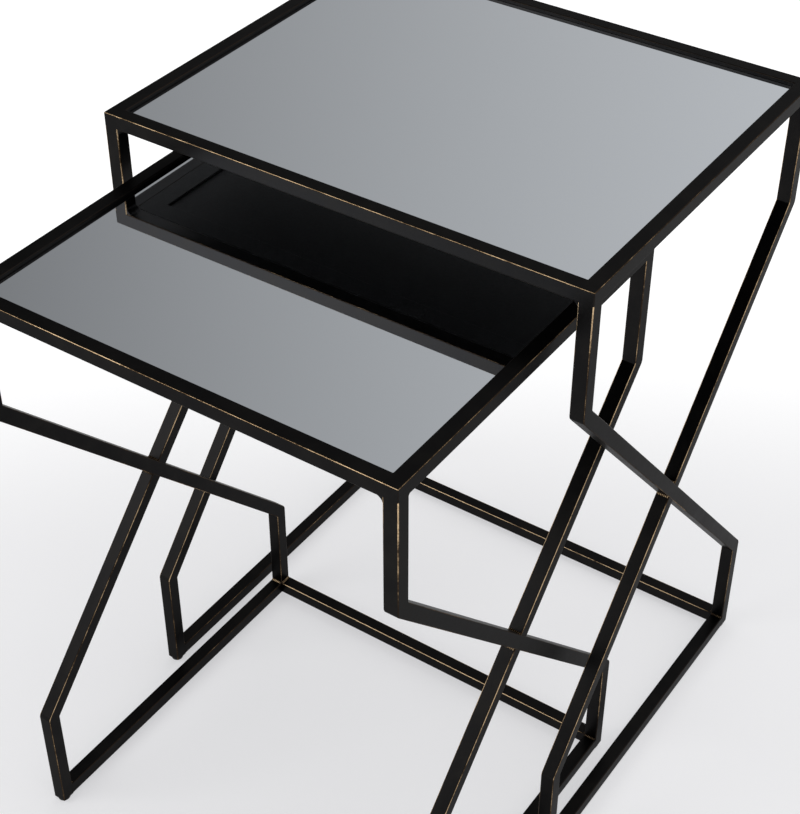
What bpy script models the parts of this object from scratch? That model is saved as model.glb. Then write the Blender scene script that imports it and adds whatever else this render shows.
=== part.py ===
"""Nest of two side tables: welded square-tube frames with mirrors let into their tops.

The smaller table stands inside the larger one, drawn part of the way out to the front.
Each side of a table is one X-shaped frame. Short upright posts at the four corners bend
into two long diagonals, and the diagonals cross in the middle.

X runs along the tables' front rails, Y from front to back, Z up. The floor is at Z = 0,
and the origin is on the floor under the middle of the two tables' common box.
"""

import math
from collections import namedtuple

import bmesh
import bpy
from mathutils import Vector

# Square tube, the same in both tables.
TUBE = 0.0127
TUBE_WALL = 0.0012
TUBE_CORNER = 0.0010
TUBE_INNER_CORNER = 0.0003
CORNER_STEPS = 2

# Room left at a weld or under a part that rests on another.
GAP = 0.0003

# Larger table, over all.
LARGE_WIDTH = 0.448
LARGE_DEPTH = 0.368
LARGE_HEIGHT = 0.630

# Room round the smaller table once it is pushed in, and how far it is drawn out at rest.
SIDE_CLEARANCE = 0.015
BACK_CLEARANCE = 0.006
TOP_CLEARANCE = 0.036
PULL_OUT = 0.198

# Distance of a post's bend from the table's top, and from the floor.
BEND_OFFSET = 0.116

# Top panel: mirror glass on a backing board on flat ledges flush with the rails' underside.
GLASS = 0.0030
BOARD = 0.0036
PANEL_CLEARANCE = 0.0004
LEDGE = 0.0020
LEDGE_WIDTH = 0.018

# Plastic glide pushed into the open end of each post.
GLIDE_HEIGHT = 0.0030
GLIDE_LIP = 0.0005
GLIDE_CHAMFER = 0.0006
GLIDE_STEM = 0.010
GLIDE_SIDES = 32

SMALL_WIDTH = LARGE_WIDTH - 2 * (TUBE + SIDE_CLEARANCE)
SMALL_DEPTH = LARGE_DEPTH - TUBE - BACK_CLEARANCE
SMALL_HEIGHT = LARGE_HEIGHT - TUBE - TOP_CLEARANCE

# The two tables' common box runs from the small table's front to the large table's back.
NEST_DEPTH = LARGE_DEPTH + PULL_OUT
LARGE_MIDDLE_Y = (NEST_DEPTH - LARGE_DEPTH) / 2
SMALL_MIDDLE_Y = (SMALL_DEPTH - NEST_DEPTH) / 2

# Height of the posts' open ends and of the floor rails' undersides.
FLOOR_END = GLIDE_HEIGHT + GAP

X_AXIS = Vector((1, 0, 0))
Y_AXIS = Vector((0, 1, 0))
Z_AXIS = Vector((0, 0, 1))

# Overall width, depth and height, whether the sides have ledges as the front and back do,
# and the empty that the pieces are placed under, on the floor under the table's middle.
Table = namedtuple("Table", "name width depth height side_ledges root")

# A tube's end: a point on its plane, the plane's outward normal, and how far it stays back.
End = namedtuple("End", "point outward gap")


def clear_scene():
    for obj in list(bpy.data.objects):
        bpy.data.objects.remove(obj, do_unlink=True)


def make_material(name, colour, roughness, metallic):
    material = bpy.data.materials.new(name)
    material.use_nodes = True
    shader = material.node_tree.nodes["Principled BSDF"]
    shader.inputs["Base Color"].default_value = (*colour, 1.0)
    shader.inputs["Roughness"].default_value = roughness
    shader.inputs["Metallic"].default_value = metallic
    return material


def add_object(table, name, mesh, place, material):
    mesh.materials.append(material)
    obj = bpy.data.objects.new(f"{table.name}_{name}", mesh)
    bpy.context.scene.collection.objects.link(obj)
    obj.parent = table.root
    obj.location = place
    return obj


def finish_mesh(shape, name):
    bmesh.ops.recalc_face_normals(shape, faces=shape.faces)
    mesh = bpy.data.meshes.new(name)
    shape.to_mesh(mesh)
    shape.free()
    return mesh


def square_profile(half, corner):
    """Square outline with rounded corners, as (across, up) pairs, anticlockwise."""
    points = []
    for quarter in range(4):
        middle = math.radians(45 + 90 * quarter)
        centre_x = (half - corner) * math.copysign(1, math.cos(middle))
        centre_y = (half - corner) * math.copysign(1, math.sin(middle))
        for step in range(CORNER_STEPS + 1):
            angle = math.radians(90 * quarter + 90 * step / CORNER_STEPS)
            points.append(
                (centre_x + corner * math.cos(angle), centre_y + corner * math.sin(angle))
            )
    return points


def ring(shape, profile, start, along, across, up, end, middle):
    """The profile's lines, drawn along the tube and stopped on the end's plane."""
    plane_point = end.point - end.outward * end.gap
    verts = []
    for side, rise in profile:
        line = start + across * side + up * rise
        reach = (plane_point - line).dot(end.outward) / along.dot(end.outward)
        verts.append(shape.verts.new(line + along * reach - middle))
    return verts


def add_tube(table, name, start, finish, first_end, last_end, material):
    """One hollow tube along start to finish, cut on the planes of its two ends."""
    along = (finish - start).normalized()
    across = X_AXIS if abs(along.dot(X_AXIS)) < 0.5 else Z_AXIS
    up = along.cross(across)
    middle = (start + finish) / 2
    shape = bmesh.new()
    rings = []
    for profile in (
        square_profile(TUBE / 2, TUBE_CORNER),
        square_profile(TUBE / 2 - TUBE_WALL, TUBE_INNER_CORNER),
    ):
        for end in (first_end, last_end):
            rings.append(ring(shape, profile, start, along, across, up, end, middle))
    outer_first, outer_last, inner_first, inner_last = rings
    count = len(outer_first)
    for low, high in (
        (outer_first, outer_last),
        (inner_last, inner_first),
        (inner_first, outer_first),
        (outer_last, inner_last),
    ):
        for i in range(count):
            j = (i + 1) % count
            shape.faces.new((low[i], low[j], high[j], high[i]))
    mesh = finish_mesh(shape, name)
    return add_object(table, name, mesh, middle, material)


def mitre_end(point, way, next_way, gap_side):
    """The end that a tube shares with its neighbour: the plane halving their angle."""
    return End(point, (way + next_way).normalized() * gap_side, GAP / 2)


def add_run(table, names, points, first_end, last_end, material):
    """Tubes along a bent path, one to each straight stretch, mitred where they meet.

    With no ends given, the path is a closed ring and every corner is mitred.
    """
    ways = [(b - a).normalized() for a, b in zip(points, points[1:])]
    for i, name in enumerate(names):
        start, finish = points[i], points[i + 1]
        after = (i + 1) % len(ways)
        first = first_end
        if i > 0 or first_end is None:
            first = mitre_end(start, ways[i - 1], ways[i], -1)
        last = last_end
        if after > 0 or last_end is None:
            last = mitre_end(finish, ways[i], ways[after], 1)
        add_tube(table, name, start, finish, first, last, material)


def add_plate(table, name, outline, low, high, material):
    """Flat plate of any outline in plan, from height low to height high."""
    place = Vector((0, 0, low))
    shape = bmesh.new()
    face = shape.faces.new([shape.verts.new((x, y, 0)) for x, y in outline])
    grown = bmesh.ops.extrude_face_region(shape, geom=[face])["geom"]
    lid = [item for item in grown if isinstance(item, bmesh.types.BMVert)]
    bmesh.ops.translate(shape, verts=lid, vec=(0, 0, high - low))
    return add_object(table, name, finish_mesh(shape, name), place, material)


def rectangle(half_x, half_y):
    return [(-half_x, -half_y), (half_x, -half_y), (half_x, half_y), (-half_x, half_y)]


def add_top_rails(table, metal):
    """Four rails round the top, mitred at the corners."""
    height = table.height - TUBE / 2
    corners = rectangle((table.width - TUBE) / 2, (table.depth - TUBE) / 2)
    ring_points = [Vector((x, y, height)) for x, y in corners + corners[:1]]
    names = [f"top_{side}_rail" for side in ("front", "right", "back", "left")]
    add_run(table, names, ring_points, None, None, metal)


def add_side_frame(table, side, across, metal):
    """Eight tubes: four posts, one whole diagonal, the other in two halves, a floor rail."""
    reach = (table.depth - TUBE) / 2
    rise = table.height - 2 * BEND_OFFSET
    # Slope at which a tube's two edges pass through the outer corners of both its bends.
    slope = math.atan2(rise, table.depth) + math.asin(TUBE / math.hypot(table.depth, rise))
    half_rise = reach * math.tan(slope)
    centre = Vector((across, 0, table.height / 2))
    top = table.height - TUBE

    def at(y, z):
        return Vector((across, y, z))

    up_end = End(at(0, top), Z_AXIS, GAP)
    down_end = End(at(0, FLOOR_END), -Z_AXIS, 0)

    # Whole diagonal, from the front post at the top to the back post at the floor.
    path = [
        at(-reach, top),
        at(-reach, centre.z + half_rise),
        at(reach, centre.z - half_rise),
        at(reach, FLOOR_END),
    ]
    names = ("front_upper_post", "long_diagonal", "back_lower_post")
    names = [f"{side}_{name}" for name in names]
    add_run(table, names, path, up_end, down_end, metal)

    # The other diagonal stops on the two faces of the whole one.
    face = Vector((0, math.sin(slope), math.cos(slope)))
    path = [at(reach, top), at(reach, centre.z + half_rise), centre]
    names = [f"{side}_{name}" for name in ("back_upper_post", "upper_half_diagonal")]
    stop = End(centre + face * TUBE / 2, -face, GAP)
    add_run(table, names, path, up_end, stop, metal)

    path = [centre, at(-reach, centre.z - half_rise), at(-reach, FLOOR_END)]
    names = [f"{side}_{name}" for name in ("lower_half_diagonal", "front_lower_post")]
    start = End(centre - face * TUBE / 2, face, GAP)
    add_run(table, names, path, start, down_end, metal)

    add_floor_rail(table, f"{side}_floor_rail", across * X_AXIS, Y_AXIS, reach, metal)


def add_floor_rail(table, name, middle, along, reach, metal):
    """Straight rail on the level of the posts' ends, between the inner faces of two posts."""
    level = middle + Z_AXIS * (FLOOR_END + TUBE / 2)
    span = along * (reach - TUBE / 2)
    first = End(level - span, -along, GAP)
    last = End(level + span, along, GAP)
    add_tube(table, name, first.point, last.point, first, last, metal)


def add_panel(table, glass, wood):
    """Mirror glass on its backing board, both with a little room inside the rails."""
    half_x = table.width / 2 - TUBE - PANEL_CLEARANCE
    half_y = table.depth / 2 - TUBE - PANEL_CLEARANCE
    outline = rectangle(half_x, half_y)
    board_low = table.height - TUBE + LEDGE + GAP
    glass_low = board_low + BOARD + GAP
    add_plate(table, "backing_board", outline, board_low, board_low + BOARD, wood)
    add_plate(table, "mirror", outline, glass_low, glass_low + GLASS, glass)


def add_ledges(table, metal):
    """Flat ledges under the panel, flush with the rails' underside, mitred at the corners."""
    half_x = table.width / 2 - TUBE - GAP
    half_y = table.depth / 2 - TUBE - GAP
    low = table.height - TUBE
    for name, turn in (("front", -1), ("back", 1)):
        outline = [
            (turn * (half_x - GAP), turn * half_y),
            (-turn * (half_x - GAP), turn * half_y),
            (-turn * (half_x - GAP - LEDGE_WIDTH), turn * (half_y - LEDGE_WIDTH)),
            (turn * (half_x - GAP - LEDGE_WIDTH), turn * (half_y - LEDGE_WIDTH)),
        ]
        add_plate(table, f"{name}_ledge", outline, low, low + LEDGE, metal)
    for name, turn in (("left", -1), ("right", 1)) if table.side_ledges else ():
        outline = [
            (turn * half_x, -turn * (half_y - GAP)),
            (turn * half_x, turn * (half_y - GAP)),
            (turn * (half_x - LEDGE_WIDTH), turn * (half_y - GAP - LEDGE_WIDTH)),
            (turn * (half_x - LEDGE_WIDTH), -turn * (half_y - GAP - LEDGE_WIDTH)),
        ]
        add_plate(table, f"{name}_ledge", outline, low, low + LEDGE, metal)


def add_glides(table, plastic):
    """Round glides: a chamfered foot under each post and a stem up inside the tube."""
    inside = TUBE / 2 - TUBE_WALL
    foot = inside + GLIDE_LIP
    stem = inside - GAP
    outline = [
        (foot - GLIDE_CHAMFER, 0),
        (foot, GLIDE_CHAMFER),
        (foot, GLIDE_HEIGHT),
        (stem, GLIDE_HEIGHT),
        (stem, GLIDE_HEIGHT + GLIDE_STEM - GLIDE_CHAMFER),
        (stem - GLIDE_CHAMFER, GLIDE_HEIGHT + GLIDE_STEM),
    ]
    shape = bmesh.new()
    levels = []
    for radius, height in outline:
        level = bmesh.ops.create_circle(shape, segments=GLIDE_SIDES, radius=radius)["verts"]
        bmesh.ops.translate(shape, verts=level, vec=(0, 0, height))
        levels.append(level)
    shape.faces.new(levels[0])
    shape.faces.new(levels[-1])
    for low, high in zip(levels, levels[1:]):
        for i in range(GLIDE_SIDES):
            j = (i + 1) % GLIDE_SIDES
            shape.faces.new((low[i], low[j], high[j], high[i]))
    mesh = finish_mesh(shape, f"{table.name}_glide")
    mesh.shade_smooth()
    mesh.set_sharp_from_angle(angle=math.radians(30))
    half_x = (table.width - TUBE) / 2
    half_y = (table.depth - TUBE) / 2
    names = ("front_left", "front_right", "back_right", "back_left")
    for name, (x, y) in zip(names, rectangle(half_x, half_y)):
        add_object(table, f"{name}_glide", mesh.copy(), Vector((x, y, 0)), plastic)


def make_table(table, metal, glass, wood, plastic):
    half_x = (table.width - TUBE) / 2
    half_y = (table.depth - TUBE) / 2
    add_top_rails(table, metal)
    add_ledges(table, metal)
    add_panel(table, glass, wood)
    for side, turn in (("left", -1), ("right", 1)):
        add_side_frame(table, side, turn * half_x, metal)
    add_floor_rail(table, "back_stretcher", half_y * Y_AXIS, X_AXIS, half_x, metal)
    add_glides(table, plastic)


def make_root(name, middle_y):
    root = bpy.data.objects.new(name, None)
    bpy.context.scene.collection.objects.link(root)
    root.location = (0, middle_y, 0)
    return root


def main():
    clear_scene()
    metal = make_material("frame_metal", (0.022, 0.020, 0.019), 0.42, 0.6)
    glass = make_material("mirror_glass", (0.62, 0.66, 0.70), 0.03, 1.0)
    wood = make_material("backing_board", (0.012, 0.011, 0.011), 0.75, 0.0)
    plastic = make_material("glide_plastic", (0.015, 0.015, 0.015), 0.5, 0.0)
    large_root = make_root("large_table", LARGE_MIDDLE_Y)
    small_root = make_root("small_table", SMALL_MIDDLE_Y)
    large = Table("large", LARGE_WIDTH, LARGE_DEPTH, LARGE_HEIGHT, True, large_root)
    small = Table("small", SMALL_WIDTH, SMALL_DEPTH, SMALL_HEIGHT, False, small_root)
    for table in (large, small):
        make_table(table, metal, glass, wood, plastic)


main()
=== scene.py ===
# %% [markdown]
# # A nest of two mirror-topped side tables
#
# Two welded frames of half-inch square steel tube, painted black and rubbed through to a
# gold undercoat along the edges. Each table has an X-shaped frame at either side, and a sheet
# of mirror let into the ring of rails round its top. The smaller table slides under the larger.
#
# The packed model comes in first. It fixes every size and place, and each piece that is
# modelled here takes its measures from it.

# %% Load the packed model
import math
from collections import namedtuple

import bmesh
import bpy
from mathutils import Matrix, Vector


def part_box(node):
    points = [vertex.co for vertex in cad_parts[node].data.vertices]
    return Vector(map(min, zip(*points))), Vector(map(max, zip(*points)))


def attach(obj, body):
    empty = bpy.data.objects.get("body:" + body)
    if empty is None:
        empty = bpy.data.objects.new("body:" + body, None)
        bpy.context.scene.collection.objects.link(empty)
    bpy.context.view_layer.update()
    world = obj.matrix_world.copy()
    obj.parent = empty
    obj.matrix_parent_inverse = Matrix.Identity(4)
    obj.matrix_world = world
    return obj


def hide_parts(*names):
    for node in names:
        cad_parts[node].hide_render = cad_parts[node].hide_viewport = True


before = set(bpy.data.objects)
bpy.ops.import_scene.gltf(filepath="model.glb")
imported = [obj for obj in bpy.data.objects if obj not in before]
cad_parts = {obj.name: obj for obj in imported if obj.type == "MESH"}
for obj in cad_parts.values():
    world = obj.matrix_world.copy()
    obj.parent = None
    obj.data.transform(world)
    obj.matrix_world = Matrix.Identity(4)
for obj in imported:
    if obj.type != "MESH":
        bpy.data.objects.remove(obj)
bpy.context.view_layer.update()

# %% [markdown]
# ## Camera
#
# The camera looks down on the tables from the front, on the right-hand side, with a short
# telephoto lens, so that upright tubes lean together only a little. Its place is set first,
# because everything that follows is judged from there. The plain "Standard" view transform
# shows a paint's value as it is mixed, with no film look over it.

# %% Camera
CAMERA_PLACE = Vector((0.6654, -0.9679, 1.3141))
CAMERA_AIM = Vector((-0.0134, 0.0263, 0.3500))
CAMERA_LENS = 77.0

scene = bpy.context.scene
bpy.ops.object.select_all(action="DESELECT")
gaze = CAMERA_AIM - CAMERA_PLACE
bpy.ops.object.camera_add(location=CAMERA_PLACE, rotation=gaze.to_track_quat("-Z", "Y").to_euler())
camera = bpy.context.object
camera.name = "camera"
camera.data.lens = CAMERA_LENS
scene.camera = camera
scene.view_settings.view_transform = "Standard"
print("camera is", round(gaze.length, 3), "m from what it looks at")

# %% [markdown]
# ## Measures
#
# A bent tube follows a path of four points: the post's top, two bends and the floor. The
# rails' boxes give the outside of each table. The cut end of a post slants from one side of
# the bend to the other, so the bend's middle is half-way between that end's lowest and
# highest corners.

# %% Measures of both tables
Table = namedtuple("Table", "name left right front back top upper_bend lower_bend slope")


def cut_height(node, lower_end):
    """Height of the middle of a post's slanting end, from its corners."""
    low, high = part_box(node)
    middle = (low.z + high.z) / 2
    heights = [vert.co.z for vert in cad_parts[node].data.vertices]
    heights = [z for z in heights if (z < middle) == lower_end]
    return (min(heights) + max(heights)) / 2


def measure_table(name):
    """The outside and the bends of one table, from its rails' and posts' nodes."""
    left_low, left_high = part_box(f"{name}_top_left_rail")
    right_low, right_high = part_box(f"{name}_top_right_rail")
    upper = cut_height(f"{name}_left_front_upper_post", lower_end=True)
    lower = cut_height(f"{name}_left_back_lower_post", lower_end=False)
    tube = left_high.z - left_low.z
    span = left_high.y - left_low.y - tube
    slope = math.atan2(upper - lower, span)
    return Table(
        name, left_low.x, right_high.x, left_low.y, left_high.y, left_high.z, upper, lower, slope
    )


rail_low, rail_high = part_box("large_top_left_rail")
TUBE = rail_high.z - rail_low.z
FLOOR_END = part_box("large_left_floor_rail")[0].z
LARGE = measure_table("large")
SMALL = measure_table("small")
TABLES = (LARGE, SMALL)
for table in TABLES:
    print(
        table.name,
        "is", round(table.right - table.left, 4), "x", round(table.back - table.front, 4),
        "m, diagonals at", round(math.degrees(table.slope), 1), "degrees",
    )

# %% [markdown]
# ## Working by hand in edit mode
#
# Operators act on whatever is selected. So each step first clears the selection, then picks
# faces or edges by where they are or which way they face, as a modeller would with the mouse.

# %% Selecting and finishing helpers
X_AXIS = Vector((1, 0, 0))
Y_AXIS = Vector((0, 1, 0))
Z_AXIS = Vector((0, 0, 1))
SMOOTH_ANGLE = 40
CORNER_FOLD = 60
PARALLEL = 0.99
SAME_PLACE = 1e-5


def start_edit(piece):
    """Makes this piece the only selected one and opens it in edit mode."""
    if bpy.context.mode != "OBJECT":
        bpy.ops.object.mode_set(mode="OBJECT")
    bpy.ops.object.select_all(action="DESELECT")
    piece.select_set(True)
    bpy.context.view_layer.objects.active = piece
    bpy.ops.object.mode_set(mode="EDIT")


def stop_edit():
    """Goes back to whole pieces."""
    bpy.ops.object.mode_set(mode="OBJECT")


def pick(piece, kind, test):
    """In edit mode, selects only the faces or edges that pass the test, and counts them."""
    bpy.ops.mesh.select_mode(type=kind)
    bpy.ops.mesh.select_all(action="DESELECT")
    shape = bmesh.from_edit_mesh(piece.data)
    found = [item for item in (shape.faces if kind == "FACE" else shape.edges) if test(item)]
    for item in found:
        item.select_set(True)
    shape.select_flush_mode()
    bmesh.update_edit_mesh(piece.data)
    return len(found)


def fold(edge):
    """Angle between an edge's two faces, in degrees; 0 where they are level."""
    if len(edge.link_faces) != 2:
        return 0.0
    return math.degrees(edge.calc_face_angle(0.0))


def edge_way(edge):
    first, last = edge.verts
    return (last.co - first.co).normalized()


def edge_middle(edge):
    return (edge.verts[0].co + edge.verts[1].co) / 2


def settle(piece, name):
    """Names the piece and puts its place into its mesh."""
    bpy.ops.object.select_all(action="DESELECT")
    piece.select_set(True)
    bpy.context.view_layer.objects.active = piece
    bpy.ops.object.transform_apply(location=True, rotation=True, scale=True)
    piece.name = name
    piece.data.name = name
    return piece


def smooth_flats(piece):
    """Rounded edges shade smoothly and the flats between them stay flat."""
    bpy.ops.object.select_all(action="DESELECT")
    piece.select_set(True)
    bpy.context.view_layer.objects.active = piece
    bpy.ops.object.shade_smooth_by_angle(angle=math.radians(SMOOTH_ANGLE))
    weigh = piece.modifiers.new("flats", "WEIGHTED_NORMAL")
    weigh.keep_sharp = True
    bpy.ops.object.modifier_apply(modifier=weigh.name)


print("edges that fold by more than", SMOOTH_ANGLE, "degrees stay sharp")

# %% [markdown]
# ## Rubbed edges
#
# The gold shows where the painter has rubbed the black away along the rounded edges. The
# shader can't tell an edge from a flat by itself, so every point of a piece carries a number
# called "rub": nothing on the flats, most along the middle of a rounded edge. Each edge also
# has its own strength, because a hand bears harder on the edges it meets first. A map painted
# by hand could say the same, but it would have to be painted again after every change of shape.

# %% Rub attribute
FLAT_LIMIT = 0.985
EDGE_MIDDLE = 45


def mark_rub(piece, sides, strength):
    """Writes the rub of every point: its edge's strength, fading out to the flats.

    sides are the directions that the tube's own four flats look in, either way round.
    """
    mesh = piece.data
    on_flat = set()
    for face in mesh.polygons:
        if any(abs(face.normal.dot(side)) > FLAT_LIMIT for side in sides):
            on_flat.update(face.vertices)
    rub = mesh.attributes.new("rub", "FLOAT", "POINT")
    marked = 0
    for vert in mesh.vertices:
        if vert.index in on_flat:
            rub.data[vert.index].value = 0.0
            continue
        lean = max(abs(vert.normal.dot(side)) for side in sides)
        across = 1 - abs(math.degrees(math.acos(min(lean, 1))) - EDGE_MIDDLE) / EDGE_MIDDLE
        rub.data[vert.index].value = strength(vert.co, vert.normal) * across
        marked += 1
    return marked


print("a flat's points lie within", round(math.degrees(math.acos(FLAT_LIMIT)), 1), "degrees of it")

# %% [markdown]
# ## Ring of rails round the top
#
# Four tubes are mitred, welded and ground until no seam shows, so the ring is one piece. It
# starts as a block as large as the ring. Insetting the top and bottom by the width of a tube
# and bridging the two inner faces cuts the opening through, and leaves edge lines along the
# mitres. A bevel then rounds every corner to the tube's own 1 mm. The front edge is rubbed
# hardest, then the other outer edges, and the inner ones hardly at all.

# %% Rings of rails
TUBE_CORNER = 0.0010
CORNER_CUTS = 4
RING_RUB = {
    "front": 0.88,
    "right": 0.64,
    "left and back": 0.46,
    "lower": 0.55,
    "inner": 0.32,
    "upright": 0.25,
}


def ring_strength(table):
    """How hard each edge of the ring is rubbed."""
    middle = Vector(((table.left + table.right) / 2, (table.front + table.back) / 2, 0))

    def strength(place, normal):
        from_middle = place - middle
        from_middle.z = 0
        outside = normal.dot(from_middle) > 0
        if abs(normal.z) < 0.2:
            return RING_RUB["upright"]
        if not outside:
            return RING_RUB["inner"]
        if normal.z <= 0:
            return RING_RUB["lower"]
        if normal.y < -0.3:
            return RING_RUB["front"]
        return RING_RUB["right"] if normal.x > 0.3 else RING_RUB["left and back"]

    return strength


def ring_of_rails(table):
    """The four mitred top rails of one table, as one piece."""
    size = Vector((table.right - table.left, table.back - table.front, TUBE))
    middle = Vector((table.left, table.front, table.top - TUBE)) + size / 2
    bpy.ops.object.select_all(action="DESELECT")
    bpy.ops.mesh.primitive_cube_add(size=1, location=middle, scale=size)
    ring = settle(bpy.context.object, f"{table.name}_top_ring")
    start_edit(ring)
    pick(ring, "FACE", lambda face: abs(face.normal.z) > 0.9)
    bpy.ops.mesh.inset(thickness=TUBE, use_individual=True)
    bpy.ops.mesh.bridge_edge_loops()
    edges = pick(ring, "EDGE", lambda edge: fold(edge) > CORNER_FOLD)
    bpy.ops.mesh.bevel(offset=TUBE_CORNER, segments=CORNER_CUTS, profile=0.5, affect="EDGES")
    stop_edit()
    smooth_flats(ring)
    marked = mark_rub(ring, (X_AXIS, Y_AXIS, Z_AXIS), ring_strength(table))
    print(ring.name, edges, "edges rounded,", marked, "points rubbed")
    return ring


# %% [markdown]
# ## Bent tubes of the side frames
#
# A real frame is cut and welded at each bend, then ground smooth, so it reads as one tube that
# turns. The same can be done here: a square is drawn out along the post, cut on the slant
# that halves the bend, and its cut face is drawn out again along the diagonal. Both stretches
# stay exactly as thick as the tube, which a curve with a bevel would not give at a sharp bend.

# %% Bent tubes
OUTER_BEND_CUT = 0.0022
INNER_BEND_CUT = 0.0009
WALL = 0.0012
HOLLOW_DEPTH = 0.014


def tube_ways(points):
    """The direction of each stretch of a path."""
    return [(b - a).normalized() for a, b in zip(points, points[1:])]


def draw_out(tube, way, length, plane_point, plane_way):
    """Pulls the selected end along, then cuts it square or slanting on a plane."""
    bpy.ops.mesh.extrude_region_move(TRANSFORM_OT_translate={"value": way * length})
    bpy.ops.mesh.select_all(action="SELECT")
    bpy.ops.mesh.bisect(
        plane_co=plane_point, plane_no=plane_way, use_fill=True, clear_outer=True, threshold=1e-6
    )
    pick(
        tube,
        "FACE",
        lambda face: abs(face.normal.dot(plane_way)) > 0.999
        and abs((face.calc_center_median() - plane_point).dot(plane_way)) < SAME_PLACE,
    )


def bent_tube(name, points, last_way):
    """Square tube from points[0] upright, through the bends, to a cut square to last_way."""
    ways = tube_ways(points)
    bpy.ops.object.select_all(action="DESELECT")
    bpy.ops.mesh.primitive_plane_add(size=TUBE, location=points[0])
    tube = settle(bpy.context.object, name)
    start_edit(tube)
    bpy.ops.mesh.select_all(action="SELECT")
    cuts = [(a + b).normalized() for a, b in zip(ways, ways[1:])] + [last_way]
    for way, start, end, cut in zip(ways, points, points[1:], cuts):
        draw_out(tube, way, (end - start).length + 2 * TUBE, end, cut)
    bpy.ops.mesh.select_all(action="SELECT")
    bpy.ops.mesh.normals_make_consistent(inside=False)
    bpy.ops.mesh.dissolve_limited(angle_limit=math.radians(1))
    return tube


def round_bends(tube, bends):
    """Eases the cross edges at the bends, more on the outside than on the inside."""

    def at_bend(edge, outer):
        if abs(edge_way(edge).x) < PARALLEL or fold(edge) < 10:
            return False
        for point, outward in bends:
            if (edge_middle(edge) - point).length < TUBE:
                return (edge_middle(edge) - point).dot(outward) > 0 if outer else True
        return False

    for outer, offset in ((True, OUTER_BEND_CUT), (False, INNER_BEND_CUT)):
        pick(tube, "EDGE", lambda edge: at_bend(edge, outer) and fold(edge) > 30)
        bpy.ops.mesh.bevel(offset=offset, segments=3, profile=0.5, affect="EDGES")


def open_end(tube, level):
    """Opens the tube where it stands on the floor: a rim as thick as its wall."""
    faces = pick(
        tube,
        "FACE",
        lambda face: face.normal.z < -PARALLEL and abs(face.calc_center_median().z - level) < SAME_PLACE,
    )
    bpy.ops.mesh.inset(thickness=WALL)
    bpy.ops.mesh.extrude_region_move(TRANSFORM_OT_translate={"value": (0, 0, HOLLOW_DEPTH)})
    return faces


def round_long_edges(tube):
    """Rounds the four edges that run the length of the tube."""
    count = pick(
        tube,
        "EDGE",
        lambda edge: abs(edge_way(edge).x) < 0.1
        and fold(edge) > CORNER_FOLD
        and any(abs(face.normal.x) > 0.9 for face in edge.link_faces)
        and not any(abs(face.normal.z) > 0.999 for face in edge.link_faces)
        and abs(edge_middle(edge).x - tube_middle(tube)) > TUBE / 2 - SAME_PLACE,
    )
    bpy.ops.mesh.bevel(
        offset=TUBE_CORNER, segments=CORNER_CUTS, profile=0.5, affect="EDGES", clamp_overlap=False
    )
    return count


def tube_middle(tube):
    places = [vert.co.x for vert in bmesh.from_edit_mesh(tube.data).verts]
    return (min(places) + max(places)) / 2


print("walls of", WALL * 1000, "mm show at the feet")
print("bends are eased by", OUTER_BEND_CUT * 1000, "mm outside and", INNER_BEND_CUT * 1000, "mm inside")

# %% [markdown]
# The wear on a bent tube isn't the same all along. The posts and the diagonals' front edges
# are rubbed most, and more so near the crossing. A point can only carry a different rub where
# there is a point, so rings are cut round the tube on both sides of the crossing.

# %% Wear along the bent tubes
CROSSING_RUB = 0.055
CROSSING_RISE = 1.22
CROSSING_RINGS = (0.8, 1.4)
RUN_RUB = {"post": 0.72, "upper front": 1.06, "lower front": 0.60, "back": 0.50}


def run_strength(crossing):
    """Posts and near edges are rubbed hardest, and more so where the diagonals cross."""

    def strength(place, normal):
        outward = normal - normal.x * X_AXIS
        outward.normalize()
        near = CROSSING_RISE if (place - crossing).length < CROSSING_RUB else 1.0
        if abs(outward.z) < 0.25:
            return RUN_RUB["post"]
        if outward.y >= 0:
            return RUN_RUB["back"]
        return RUN_RUB["upper front" if outward.z > 0 else "lower front"] * near

    return strength


def cut_ring(point, way):
    """Adds a ring of points round the tube, so that the rub can change there."""
    bpy.ops.mesh.select_all(action="SELECT")
    bpy.ops.mesh.bisect(plane_co=point, plane_no=way, use_fill=False, threshold=1e-6)


def side_run(name, points, crossing, last_way, floor_end):
    """One finished bent tube: shaped, its edges rounded, its foot opened and its rub marked."""
    tube = bent_tube(name, points, last_way)
    bends = []
    for before, point, after in zip(points, points[1:], points[2:]):
        inward = ((before - point).normalized() + (after - point).normalized()).normalized()
        bends.append((point, -inward))
    round_bends(tube, bends)
    edges = round_long_edges(tube)
    if floor_end:
        open_end(tube, FLOOR_END)
    for share in CROSSING_RINGS:
        for start, end in zip(points, points[1:]):
            way = (end - start).normalized()
            if abs(way.z) < PARALLEL:
                for turn in (1, -1):
                    cut_ring(crossing + way * CROSSING_RUB * share * turn, way)
    stop_edit()
    smooth_flats(tube)
    sides = [X_AXIS] + [way.cross(X_AXIS) for way in tube_ways(points)]
    marked = mark_rub(tube, sides, run_strength(crossing))
    print(name, edges, "edges rounded,", marked, "points rubbed")
    return tube


# %% [markdown]
# ## Straight rails near the floor
#
# A floor rail joins the feet of each side, and one stretcher joins the two back posts. Each
# is a plain length of tube, drawn out as a block with its long edges rounded. The stretchers
# are rubbed well along the top, the floor rails hardly. Close to a joint the cloth doesn't
# reach, so a ring is cut near each end, and the rub is less outside it.

# %% Straight rails
END_LENGTH = 0.011
END_SHARE = 0.35
LOWER_RAIL_RUB = 0.45
FLOOR_RAIL_RUB = {"left": 0.55, "right": 0.38}
STRETCHER_RUB = 1.25


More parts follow.
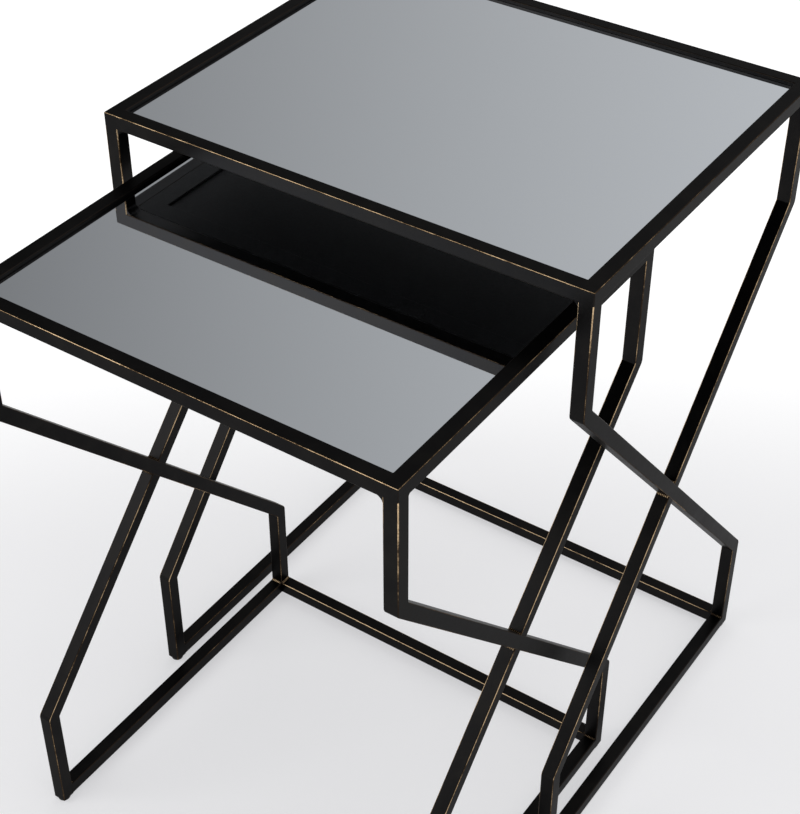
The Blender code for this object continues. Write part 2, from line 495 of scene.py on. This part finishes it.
def rail_strength(low, high, way, hardness):
    """Rails are rubbed along the top, and less close to the joints."""

    def strength(place, normal):
        from_end = min((place - low).dot(way), (high - place).dot(way))
        share = END_SHARE if from_end < END_LENGTH / 2 else 1.0
        return (hardness if normal.z > 0 else LOWER_RAIL_RUB) * share

    return strength


def straight_rail(name, low, high, way, hardness):
    """Straight tube between two posts: a square drawn out, its long edges rounded."""
    middle = (low + high) / 2
    size = high - low
    bpy.ops.object.select_all(action="DESELECT")
    bpy.ops.mesh.primitive_cube_add(size=1, location=middle, scale=size)
    rail = settle(bpy.context.object, name)
    start_edit(rail)
    edges = pick(rail, "EDGE", lambda edge: abs(edge_way(edge).dot(way)) > PARALLEL)
    bpy.ops.mesh.bevel(offset=TUBE_CORNER, segments=CORNER_CUTS, profile=0.5, affect="EDGES")
    cut_ring(low + way * END_LENGTH, way)
    cut_ring(high - way * END_LENGTH, way)
    stop_edit()
    smooth_flats(rail)
    sides = (Z_AXIS, Z_AXIS.cross(way))
    marked = mark_rub(rail, sides, rail_strength(low, high, way, hardness))
    print(name, edges, "edges rounded,", marked, "points rubbed")
    return rail


print("stretchers are rubbed", STRETCHER_RUB, "and floor rails", FLOOR_RAIL_RUB)

# %% [markdown]
# ## Putting the side frames together
#
# On each side one diagonal is whole. The other stops on the whole one's two faces and is
# welded there. So each side takes three bent tubes: the whole diagonal with a post at both
# ends, and two halves with a post each. Each piece is listed with the packed nodes that it
# stands for; those nodes are hidden, and the piece hangs from its table's body.

# %% Side frames
WELD_GAP = 0.0003


def side_frame(table, side):
    """The three bent tubes and the floor rail of one side, with the nodes they stand for."""
    x = table.left + TUBE / 2 if side == "left" else table.right - TUBE / 2
    front = table.front + TUBE / 2
    back = table.back - TUBE / 2
    top = table.top - TUBE + TUBE_CORNER
    name = f"{table.name}_{side}"
    centre = Vector((x, (front + back) / 2, (table.upper_bend + table.lower_bend) / 2))
    down_back = Vector((0, math.cos(table.slope), -math.sin(table.slope)))
    up_back = Vector((0, math.cos(table.slope), math.sin(table.slope)))
    face = Vector((0, math.sin(table.slope), math.cos(table.slope)))
    made = {}
    made["long_run"] = (
        side_run(
            f"{name}_long_run",
            [
                Vector((x, front, top)),
                Vector((x, front, table.upper_bend)),
                Vector((x, back, table.lower_bend)),
                Vector((x, back, FLOOR_END)),
            ],
            centre,
            -Z_AXIS,
            True,
        ),
        ("front_upper_post", "long_diagonal", "back_lower_post"),
    )
    # The half diagonals meet the whole one at its faces, which lean the other way.
    reach = (TUBE / 2 - TUBE_CORNER) / abs(up_back.dot(face))
    made["upper_run"] = (
        side_run(
            f"{name}_upper_run",
            [
                Vector((x, back, top)),
                Vector((x, back, table.upper_bend)),
                centre + up_back * reach,
            ],
            centre,
            -face,
            False,
        ),
        ("back_upper_post", "upper_half_diagonal"),
    )
    made["lower_run"] = (
        side_run(
            f"{name}_lower_run",
            [
                Vector((x, front, FLOOR_END)),
                Vector((x, front, table.lower_bend)),
                centre - up_back * reach,
            ],
            centre,
            face,
            False,
        ),
        ("lower_half_diagonal", "front_lower_post"),
    )
    low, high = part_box(f"{name}_floor_rail")
    spare = Y_AXIS * (TUBE_CORNER + WELD_GAP)
    made["floor_rail"] = (
        straight_rail(f"{name}_floor_run", low - spare, high + spare, Y_AXIS, FLOOR_RAIL_RUB[side]),
        ("floor_rail",),
    )
    for piece, nodes in made.values():
        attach(piece, f"{table.name}_table")
        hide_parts(*[f"{name}_{node}" for node in nodes])
    print(name, "frame has", len(made), "tubes")
    return [piece for piece, nodes in made.values()]


# %% [markdown]
# ## The painted frame of each table
#
# A ring on top, a frame at either side and the stretcher at the back make one table. All of
# it gets the same paint later, so the pieces are gathered in one list.

# %% Both frames
painted = []
for table in TABLES:
    ring = ring_of_rails(table)
    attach(ring, f"{table.name}_table")
    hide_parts(*[f"{table.name}_top_{side}_rail" for side in ("front", "right", "back", "left")])
    painted.append(ring)
    for side in ("left", "right"):
        painted += side_frame(table, side)
    low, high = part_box(f"{table.name}_back_stretcher")
    spare = X_AXIS * (TUBE_CORNER + WELD_GAP)
    stretcher = straight_rail(
        f"{table.name}_stretcher", low - spare, high + spare, X_AXIS, STRETCHER_RUB
    )
    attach(stretcher, f"{table.name}_table")
    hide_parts(f"{table.name}_back_stretcher")
    painted.append(stretcher)
print(len(painted), "tubes")

# %% [markdown]
# ## Ledges under the glass
#
# Flat strips welded inside the rails carry the board and the glass. The larger table has them
# all round, and the smaller one only at the front and back. They show from below, and in the
# smaller table's mirror. Each tucks a hair's breadth into the rails, as a welded strip does.

# %% Ledges
TUCK = 0.0004
LEDGE_EDGE = 0.0004


def ledge_piece(table, sides, name):
    """One ledge, or a ring of four, made from a block the size of the nodes it stands for."""
    nodes = [f"{table.name}_{side}_ledge" for side in sides]
    boxes = [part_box(node) for node in nodes]
    low = Vector([min(box[0][axis] for box in boxes) for axis in range(3)])
    high = Vector([max(box[1][axis] for box in boxes) for axis in range(3)])
    low -= Vector((TUCK, TUCK, 0))
    high += Vector((TUCK, TUCK, 0))
    bpy.ops.object.select_all(action="DESELECT")
    bpy.ops.mesh.primitive_cube_add(size=1, location=(low + high) / 2, scale=high - low)
    ledge = settle(bpy.context.object, f"{table.name}_{name}")
    start_edit(ledge)
    if len(sides) == 4:
        width = boxes[0][1].y - boxes[0][0].y
        pick(ledge, "FACE", lambda face: abs(face.normal.z) > 0.9)
        bpy.ops.mesh.inset(thickness=width + TUCK, use_individual=True)
        bpy.ops.mesh.bridge_edge_loops()
    edges = pick(ledge, "EDGE", lambda edge: fold(edge) > CORNER_FOLD)
    bpy.ops.mesh.bevel(offset=LEDGE_EDGE, segments=2, profile=0.5, affect="EDGES")
    stop_edit()
    smooth_flats(ledge)
    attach(ledge, f"{table.name}_table")
    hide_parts(*nodes)
    print(ledge.name, edges, "edges eased")
    return ledge


ledges = [
    ledge_piece(LARGE, ("front", "back", "left", "right"), "ledge_ring"),
    ledge_piece(SMALL, ("front",), "front_ledge_strip"),
    ledge_piece(SMALL, ("back",), "back_ledge_strip"),
]

# %% [markdown]
# ## Welds
#
# Where a post meets a rail the welder has run a fillet into the corner and ground it to a soft
# hollow curve. Where the diagonals cross, and at the feet, the bead is left as it was laid,
# with its row of ripples. One fillet and one bead are modelled at the origin, and copies are
# turned into the corners. Bevelling one edge of a block with a profile under a quarter gives
# the hollow curve, and swelling every other ring of a bar gives the ripples.

# %% One fillet and one bead
FILLET_WIDTH = TUBE - 1.2 * TUBE_CORNER
BEAD_RADIUS = 0.0019
BEAD_RINGS = 13
RIPPLE = 0.00022
HOLLOW_PROFILE = 0.13
FILLET_CUTS = 7
FILLET_ARRIS = 0.0004
FILLET_RUB = 0.10
BEAD_END_SHARE = 0.72
BEAD_RUB = {"crest": 0.80, "hollow": 0.25}


def model_fillet(reach):
    """Hollow corner filling between walls along +X and +Z, as wide as a tube along Y."""
    bpy.ops.object.select_all(action="DESELECT")
    bpy.ops.mesh.primitive_cube_add(
        size=1, location=(reach / 2, 0, reach / 2), scale=(reach, FILLET_WIDTH, reach)
    )
    fillet = settle(bpy.context.object, "fillet")
    start_edit(fillet)
    pick(fillet, "EDGE", lambda edge: edge_middle(edge).x > reach * 0.9
         and edge_middle(edge).z > reach * 0.9)
    bpy.ops.mesh.bevel(
        offset=reach * 0.94, segments=FILLET_CUTS, profile=HOLLOW_PROFILE, affect="EDGES"
    )
    pick(fillet, "EDGE", lambda edge: abs(abs(edge_middle(edge).y) - FILLET_WIDTH / 2) < 1e-6
         and all(face.normal.dot(Vector((1, 0, 1))) > -0.5 for face in edge.link_faces)
         and fold(edge) > CORNER_FOLD)
    bpy.ops.mesh.bevel(offset=FILLET_ARRIS, segments=2, profile=0.5, affect="EDGES")
    bpy.ops.mesh.select_all(action="SELECT")
    bpy.ops.mesh.normals_make_consistent(inside=False)
    stop_edit()
    bpy.ops.object.shade_smooth_by_angle(angle=math.radians(50))
    rub = fillet.data.attributes.new("rub", "FLOAT", "POINT")
    for item in rub.data:
        item.value = FILLET_RUB
    return fillet


def model_bead():
    """Rippled bar of weld along Y."""
    bpy.ops.object.select_all(action="DESELECT")
    bpy.ops.mesh.primitive_cylinder_add(
        vertices=12, radius=BEAD_RADIUS, depth=FILLET_WIDTH, location=(0, 0, 0),
        rotation=(math.radians(90), 0, 0),
    )
    bead = settle(bpy.context.object, "bead")
    start_edit(bead)
    pick(bead, "EDGE", lambda edge: abs(edge_way(edge).y) > 0.9)
    bpy.ops.mesh.subdivide(number_cuts=BEAD_RINGS)
    pitch = FILLET_WIDTH / (BEAD_RINGS + 1)

    def ring_number(point):
        return round((point.y + FILLET_WIDTH / 2) / pitch)

    pick(bead, "EDGE", lambda edge: abs(edge_way(edge).y) < 0.1
         and ring_number(edge_middle(edge)) % 2 == 1)
    bpy.ops.transform.shrink_fatten(value=RIPPLE)
    pick(bead, "EDGE", lambda edge: abs(edge_way(edge).y) < 0.1
         and ring_number(edge_middle(edge)) in (0, BEAD_RINGS + 1))
    bpy.ops.transform.resize(value=(BEAD_END_SHARE, 1.0, BEAD_END_SHARE))
    bpy.ops.mesh.select_all(action="SELECT")
    bpy.ops.mesh.normals_make_consistent(inside=False)
    stop_edit()
    bpy.ops.object.shade_smooth_by_angle(angle=math.radians(60))
    rub = bead.data.attributes.new("rub", "FLOAT", "POINT")
    for vert, item in zip(bead.data.vertices, rub.data):
        item.value = BEAD_RUB["crest" if ring_number(vert.co) % 2 == 1 else "hollow"]
    return bead


print("a bead has", BEAD_RINGS, "rings over", round(FILLET_WIDTH * 1000, 1), "mm")

# %% [markdown]
# ## Copies in the corners
#
# Each corner is given by its point and by the two ways its walls run. A matrix made from
# those turns a copy into place, and the copy sinks a fraction of a millimetre into the walls,
# as molten metal does. The welds of one table are then joined into a single piece.

# %% Copies in the corners
SOFT_REACH = 0.0052
TIGHT_REACH = 0.0024
FILLET_SINK = 0.0002
FOOT_SINK = 0.0004
CROSSING_SINK = 0.0006


def turn_into(corner, first, second, deeper):
    """Matrix that sets a weld in the corner, between walls along first and second."""
    middle = (first + second).normalized()
    slant = (first - second).normalized()
    along_first = (middle + slant).normalized()
    along_second = (middle - slant).normalized()
    across = along_second.cross(along_first)
    turned = Matrix((along_first, across, along_second)).transposed().to_4x4()
    return Matrix.Translation(corner - middle * deeper) @ turned


def copy_weld(pattern, matrix):
    """A copy of a weld with its own mesh, turned into its corner."""
    bpy.ops.object.select_all(action="DESELECT")
    pattern.select_set(True)
    bpy.context.view_layer.objects.active = pattern
    bpy.ops.object.duplicate(linked=False)
    copy = bpy.context.object
    copy.matrix_world = matrix
    return settle(copy, "weld")


def corner_welds(table, soft, tight, bead):
    """Welds of one table, joined into one piece."""
    made = []
    under = table.top - TUBE
    foot = FLOOR_END + TUBE
    front = table.front + TUBE / 2
    back = table.back - TUBE / 2
    centre_y = (front + back) / 2
    centre_z = (table.upper_bend + table.lower_bend) / 2
    down_back = Vector((0, math.cos(table.slope), -math.sin(table.slope)))
    up_back = Vector((0, math.cos(table.slope), math.sin(table.slope)))
    for x, inward in ((table.left + TUBE / 2, X_AXIS), (table.right - TUBE / 2, -X_AXIS)):
        for y, along in ((front, Y_AXIS), (back, -Y_AXIS)):
            post = Vector((x, y, 0))
            corner = post + inward * TUBE / 2 + Z_AXIS * under
            made.append(copy_weld(soft, turn_into(corner, inward, -Z_AXIS, FILLET_SINK)))
            corner = post + along * TUBE / 2 + Z_AXIS * under
            made.append(copy_weld(tight, turn_into(corner, along, -Z_AXIS, FILLET_SINK)))
            corner = post + along * TUBE / 2 + Z_AXIS * foot
            made.append(copy_weld(bead, turn_into(corner, along, Z_AXIS, FOOT_SINK)))
        corner = Vector((x, back, foot)) + inward * TUBE / 2
        made.append(copy_weld(bead, turn_into(corner, inward, Z_AXIS, FOOT_SINK)))
        centre = Vector((x, centre_y, centre_z))
        reach = TUBE / 2 / math.sin(2 * table.slope)
        for way in (1, -1):
            for other in (1, -1):
                first = down_back * way
                second = up_back * other
                corner = centre + (first + second) * reach
                made.append(copy_weld(bead, turn_into(corner, first, second, CROSSING_SINK)))
    bpy.ops.object.select_all(action="DESELECT")
    for weld in made:
        weld.select_set(True)
    bpy.context.view_layer.objects.active = made[0]
    bpy.ops.object.join()
    welds = settle(bpy.context.object, f"{table.name}_welds")
    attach(welds, f"{table.name}_table")
    print(welds.name, len(made), "welds,", len(welds.data.polygons), "faces")
    return welds


soft_fillet = model_fillet(SOFT_REACH)
tight_fillet = model_fillet(TIGHT_REACH)
ripple_bead = model_bead()
for table in TABLES:
    painted.append(corner_welds(table, soft_fillet, tight_fillet, ripple_bead))
for pattern in (soft_fillet, tight_fillet, ripple_bead):
    bpy.data.objects.remove(pattern)

# %% [markdown]
# ## Mirror glass
#
# Each top is a 3 mm mirror lying loose in its recess, a few millimetres below the rails. Its
# edge has a ground arris, the narrow bevel that keeps a hand from being cut, and that catches
# a thin line of light.

# %% Mirrors
ARRIS = 0.0005


def mirror_sheet(table):
    """The glass of one table, its edges ground."""
    low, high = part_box(f"{table.name}_mirror")
    bpy.ops.object.select_all(action="DESELECT")
    bpy.ops.mesh.primitive_cube_add(size=1, location=(low + high) / 2, scale=high - low)
    sheet = settle(bpy.context.object, f"{table.name}_mirror_sheet")
    start_edit(sheet)
    edges = pick(sheet, "EDGE", lambda edge: fold(edge) > CORNER_FOLD)
    bpy.ops.mesh.bevel(offset=ARRIS, segments=2, profile=0.5, affect="EDGES")
    stop_edit()
    smooth_flats(sheet)
    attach(sheet, f"{table.name}_table")
    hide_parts(f"{table.name}_mirror")
    print(sheet.name, edges, "edges ground")
    return sheet


mirrors = [mirror_sheet(table) for table in TABLES]

# %% [markdown]
# ## Shader sums written as Python
#
# A material here is a short piece of arithmetic on noise and on the rub. It could be wired by
# hand in the shader editor, but a formula is easier to read and to change. Wrapping a socket
# in a small class lets it be written as sums and products, and the class adds the nodes. The
# Mix node keeps a socket of each kind under the same names, so its colour ones go by number.

# %% Socket arithmetic
MIX_FACTOR = 0
MIX_COLOURS = (6, 7)
MIX_RESULT = 2


class Wire:
    """One shader socket that can be added, multiplied and compared with numbers."""

    def __init__(self, tree, socket=None):
        self.tree = tree
        self.socket = socket

    def node(self, kind, inputs, output=0, **settings):
        """Adds one node: its settings first, then the value or the link of each socket."""
        made = self.tree.nodes.new(kind)
        for key, value in settings.items():
            setattr(made, key, value)
        for key, value in inputs.items():
            if isinstance(value, Wire):
                self.tree.links.new(value.socket, made.inputs[key])
            else:
                made.inputs[key].default_value = value
        return Wire(self.tree, made.outputs[output])

    def maths(self, operation, first, second):
        return self.node("ShaderNodeMath", {0: first, 1: second}, operation=operation)

    def __add__(self, other):
        return self.maths("ADD", self, other)

    __radd__ = __add__

    def __sub__(self, other):
        return self.maths("SUBTRACT", self, other)

    def __rsub__(self, other):
        return self.maths("SUBTRACT", other, self)

    def __mul__(self, other):
        return self.maths("MULTIPLY", self, other)

    __rmul__ = __mul__

    def at_least(self, low):
        return self.maths("MAXIMUM", self, low)

    def at_most(self, high):
        return self.maths("MINIMUM", self, high)

    def above(self, limit):
        """1 where this is more than the limit, 0 elsewhere."""
        return self.maths("GREATER_THAN", self, limit)

    def dot(self, way):
        return self.node(
            "ShaderNodeVectorMath", {0: self, 1: way}, output="Value", operation="DOT_PRODUCT"
        )

    def distance(self, point):
        return self.node(
            "ShaderNodeVectorMath", {0: self, 1: point}, output="Value", operation="DISTANCE"
        )

    def step(self, low, high):
        """0 below low, 1 above high, and a smooth rise between."""
        return self.node(
            "ShaderNodeMapRange",
            {"Value": self, "From Min": low, "From Max": high},
            interpolation_type="SMOOTHSTEP",
        )

    def blend(self, first, second):
        """The first colour where this is 0, the second where it is 1."""
        return self.node(
            "ShaderNodeMix",
            {MIX_FACTOR: self, MIX_COLOURS[0]: first, MIX_COLOURS[1]: second},
            output=MIX_RESULT,
            data_type="RGBA",
        )


print("a wire can", ", ".join(name for name in vars(Wire) if not name.startswith("_")))

# %% [markdown]
# ## What every finish starts from
#
# Each finish is one Principled shader and patterns of noise. The noise reads Object
# coordinates, which stay with the piece when it moves. All the pieces lie at the origin, so a
# pattern runs on from one to the next without a break and needs no unwrapping.

# %% Material starter
def colour(red, green, blue):
    return (red, green, blue, 1.0)


def new_material(name):
    """A material, its Principled shader, and the place on the piece that patterns read."""
    material = bpy.data.materials.new(name)
    material.use_nodes = True
    tree = material.node_tree
    place = Wire(tree).node("ShaderNodeTexCoord", {}, output="Object")
    return material, tree.nodes["Principled BSDF"], place


def noise(place, scale, detail=2.0, roughness=0.5):
    return place.node(
        "ShaderNodeTexNoise",
        {"Vector": place, "Scale": scale, "Detail": detail, "Roughness": roughness},
    )


def connect(shader, name, value):
    """Links what varies to one of the shader's sockets."""
    value.tree.links.new(value.socket, shader.inputs[name])


def roughen(shader, height, strength, depth):
    """Turns a height into bumps, where depth is how high they stand in metres."""
    bump = height.node(
        "ShaderNodeBump", {"Height": height, "Strength": strength, "Distance": depth}
    )
    connect(shader, "Normal", bump)


print("each finish starts from a shader, a place and some noise")

# %% [markdown]
# ## Rubbed black paint
#
# The finish has three coats: a gold undercoat, a dark brown glaze and a satin black. Rubbing
# goes through them in turn, so the gold line has a brown margin. Long, slow noise makes the
# hand bear harder here and lighter there, and fine noise frays the line. A black clear-coated
# paint would shine white where a tube is seen at a low angle. This satin one doesn't, so it
# is entered as a dark metal, whose shine at low angles the specular tint holds down.

# %% Rubbed black paint
HAND_PRESSURE = 0.80
GOLD_RANGE = (0.40, 0.66)
GLAZE_RANGE = (0.08, 0.36)
GILT_RANGE = (0.55, 1.05)
SATIN = 0.39
EDGE_TINT = 0.58

paint, shader, place = new_material("rubbed_black_paint")
rub = place.node("ShaderNodeAttribute", {}, output="Fac", attribute_name="rub")
slow = noise(place, 11.0)
middling = noise(place, 75.0, 2.0, 0.6)
fine = noise(place, 900.0, 3.0, 0.6)
mottle = noise(place, 38.0, 4.0, 0.6)
pressure = (slow - 0.5) * 1.3 + (middling - 0.5) * 0.9 + (fine - 0.5) * 0.5
worn = rub * (HAND_PRESSURE + pressure)
gold = worn.step(*GOLD_RANGE)
glaze = worn.step(*GLAZE_RANGE)

jet = colour(0.0130, 0.0126, 0.0128)
soot = colour(0.0182, 0.0172, 0.0165)
brown = colour(0.030, 0.020, 0.013)
old_gold = colour(0.21, 0.125, 0.055)
bright_gold = colour(0.84, 0.62, 0.38)
coated = glaze.blend(mottle.step(0.35, 0.75).blend(jet, soot), brown)
gilt = (worn + fine * 0.3).step(*GILT_RANGE).blend(old_gold, bright_gold)
connect(shader, "Base Color", gold.blend(coated, gilt))
connect(shader, "Roughness", SATIN + (mottle - 0.5) * 0.20 + gold * 0.06)
shader.inputs["Metallic"].default_value = 1.0
shader.inputs["Specular Tint"].default_value = colour(EDGE_TINT, EDGE_TINT, EDGE_TINT)
roughen(shader, fine * 0.25 + noise(place, 260.0, 3.0, 0.6), 0.10, 0.0004)
print("paint uses", len(paint.node_tree.nodes), "nodes")

# %% [markdown]
# ## Silvered glass
#
# A mirror is clear glass with silver behind it. Seen from the room it acts as one smooth
# metal, a little blue, so it is made as that: a second surface 3 mm down would cost much
# light-tracing for a doubled edge that can't be seen from here. Faint haze keeps it from
# looking like a hole, as fingers and dust do on a real one.

# %% Silvered glass
silver, shader, place = new_material("silvered_glass")
haze = noise(place, 7.0, 3.0, 0.55)
cool = colour(0.815, 0.86, 0.915)
clean = colour(0.83, 0.87, 0.92)
connect(shader, "Base Color", haze.blend(cool, clean))
connect(shader, "Roughness", 0.012 + haze * 0.02)
shader.inputs["Metallic"].default_value = 1.0
print("mirror uses", len(silver.node_tree.nodes), "nodes")

# %% [markdown]
# ## Painted board
#
# The board under each mirror is thin hardboard with one coat of black, and the ledges took
# the same flat paint. It shows from below and in the smaller table's mirror, where it should
# be the darkest thing of all, so it is rough, with little shine and a fine fibrous tooth.

# %% Painted board
board, shader, place = new_material("painted_board")
fibre = noise(place, 420.0, 4.0, 0.65)
cloud = noise(place, 14.0)
thick_coat = colour(0.0045, 0.0045, 0.005)
thin_coat = colour(0.010, 0.0095, 0.009)
connect(shader, "Base Color", cloud.blend(thick_coat, thin_coat))
connect(shader, "Roughness", 0.62 + fibre * 0.25)
shader.inputs["Specular IOR Level"].default_value = 0.12
roughen(shader, fibre, 0.25, 0.0006)
print("board uses", len(board.node_tree.nodes), "nodes")

# %% [markdown]
# ## Moulded glides
#
# The glides are pressed into the open ends of the posts. They are black plastic with the fine
# grain of the mould, and grey scuffs where they have been pushed over a floor.

# %% Moulded glides
plastic, shader, place = new_material("moulded_plastic")
grain = noise(place, 1500.0)
scuff = noise(place, 160.0, 3.0, 0.6)
new_plastic = colour(0.012, 0.012, 0.012)
scuffed = colour(0.04, 0.038, 0.036)
connect(shader, "Base Color", scuff.step(0.55, 0.75).blend(new_plastic, scuffed))
connect(shader, "Roughness", 0.45 + grain * 0.2)
roughen(shader, grain, 0.2, 0.0002)
print("plastic uses", len(plastic.node_tree.nodes), "nodes")

# %% [markdown]
# ## Giving the finishes out
#
# New pieces have no material yet and take one each. The boards and glides are the packed
# model's own meshes: their shape is right as it is, so only their material slots are filled.

# %% Giving the finishes out
for pieces, finish in ((painted, paint), (mirrors, silver), (ledges, board)):
    for piece in pieces:
        piece.data.materials.clear()
        piece.data.materials.append(finish)
finish_of = {"board": board, "glide": plastic}
dressed = 0
for name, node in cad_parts.items():
    for ending, finish in finish_of.items():
        if name.endswith(ending):
            for slot in node.material_slots:
                slot.material = finish
            dressed += 1
print(dressed, "packed nodes dressed")

# %% [markdown]
# ## Studio floor
#
# A sheet of pale paper, so large that its far side never shows. Lamps alone would have to be
# so strong for a near-white floor that the black paint would turn grey. So the paper glows a
# little by itself, evenly near the tables and more further off, as a lit backdrop does.

# %% Studio floor
FLOOR_SIZE = 60.0
POOL_MIDDLE = (1.01, -1.49, 0.0)
POOL_SHADE = 2.03
POOL_BRIGHT = 2.66

bpy.ops.object.select_all(action="DESELECT")
bpy.ops.mesh.primitive_plane_add(size=FLOOR_SIZE, location=(0, 0, 0))
floor = settle(bpy.context.object, "studio_floor")
paper, shader, place = new_material("studio_paper")
brighter = place.distance(POOL_MIDDLE).step(POOL_SHADE, POOL_BRIGHT)
near_glow = colour(0.500, 0.500, 0.514)
far_glow = colour(0.80, 0.80, 0.80)
connect(shader, "Emission Color", brighter.blend(near_glow, far_glow))
shader.inputs["Emission Strength"].default_value = 1.0
shader.inputs["Base Color"].default_value = colour(0.48, 0.48, 0.48)
shader.inputs["Roughness"].default_value = 0.85
shader.inputs["Specular IOR Level"].default_value = 0.0
floor.data.materials.append(paper)
print("floor is", FLOOR_SIZE, "m wide and turns bright", POOL_SHADE, "to", POOL_BRIGHT, "m out")

# %% [markdown]
# ## Sky
#
# The mirrors show whatever is above the tables, so the sky is their picture. It is a plain
# grey that gets lighter along one slant, with a pale haze near the horizon for the backdrop.
# One soft bright patch lights the front rail as the smaller mirror shows it. Seen directly
# in a mirror the patch would be a glaring spot, so it counts only from the second
# reflection on, which Light Path tells.

# %% Sky
SKY_BASE = 0.135
SKY_SLANT = (0.495, 0.585, 0.175)
SKY_LEAST = 0.20
SKY_MOST = 0.90
HAZE_LEVEL = 0.88
HAZE_LOW = 0.04
HAZE_HIGH = 0.36
GLOW_WAY = (-0.574, -0.637, 0.515)
GLOW_EDGE = 0.90
GLOW_LEVEL = 4.6
FIRST_REFLECTION = 1.5

world = bpy.data.worlds.new("studio")
scene.world = world
world.use_nodes = True
tree = world.node_tree
backdrop = tree.nodes["Background"]
look = Wire(tree).node("ShaderNodeTexCoord", {}, output="Generated")
level = (look.dot(SKY_SLANT) + SKY_BASE).at_least(SKY_LEAST).at_most(SKY_MOST)
clear = look.dot(Z_AXIS).step(HAZE_LOW, HAZE_HIGH)
level = level * clear + (1.0 - clear) * HAZE_LEVEL
bounces = Wire(tree).node("ShaderNodeLightPath", {}, output="Glossy Depth")
glow = (look.dot(GLOW_WAY) - GLOW_EDGE).at_least(0.0) * (1.0 / (1.0 - GLOW_EDGE))
level = level + glow * glow * glow * bounces.above(FIRST_REFLECTION) * GLOW_LEVEL
sky = level.node("ShaderNodeCombineColor", {0: level, 1: level, 2: level})
connect(backdrop, "Color", sky)
backdrop.inputs["Strength"].default_value = 1.0
print("sky uses", len(tree.nodes), "nodes")

# %% [markdown]
# ## Lamps
#
# Two large soft lamps. One stands high at the front left and shapes the tubes. It would show
# in the mirrors as a hard white square, so light linking leaves the mirrors out. The other
# hangs over the floor and lights only that, which makes the soft shadows under the tables
# without washing out the black paint.

# %% Lamps
LAMP_AIM = Vector((0, 0, 0.4))
LAMPS = {
    "front_softbox": (Vector((-1.5, -2.0, 2.05)), 1.5, 22.0),
    "floor_softbox": (Vector((0.3, 0.3, 3.2)), 3.0, 36.0),
}


def softbox(name):
    """One square lamp, aimed at the middle of the tables."""
    place, size, power = LAMPS[name]
    turn = (LAMP_AIM - place).to_track_quat("-Z", "Y").to_euler()
    bpy.ops.object.select_all(action="DESELECT")
    bpy.ops.object.light_add(type="AREA", location=place, rotation=turn)
    lamp = bpy.context.object
    lamp.name = name
    lamp.data.size = size
    lamp.data.energy = power
    lamp.visible_camera = False
    print(name, size, "m wide,", power, "W")
    return lamp


def link_light(lamp, pieces, state):
    """Lights only these pieces (INCLUDE), or all but these (EXCLUDE)."""
    lit = bpy.data.collections.new(lamp.name + "_lights")
    for piece in pieces:
        lit.objects.link(piece)
    for member in lit.collection_objects:
        member.light_linking.link_state = state
    lamp.light_linking.receiver_collection = lit


link_light(softbox("front_softbox"), mirrors, "EXCLUDE")
link_light(softbox("floor_softbox"), [floor], "INCLUDE")

# %% [markdown]
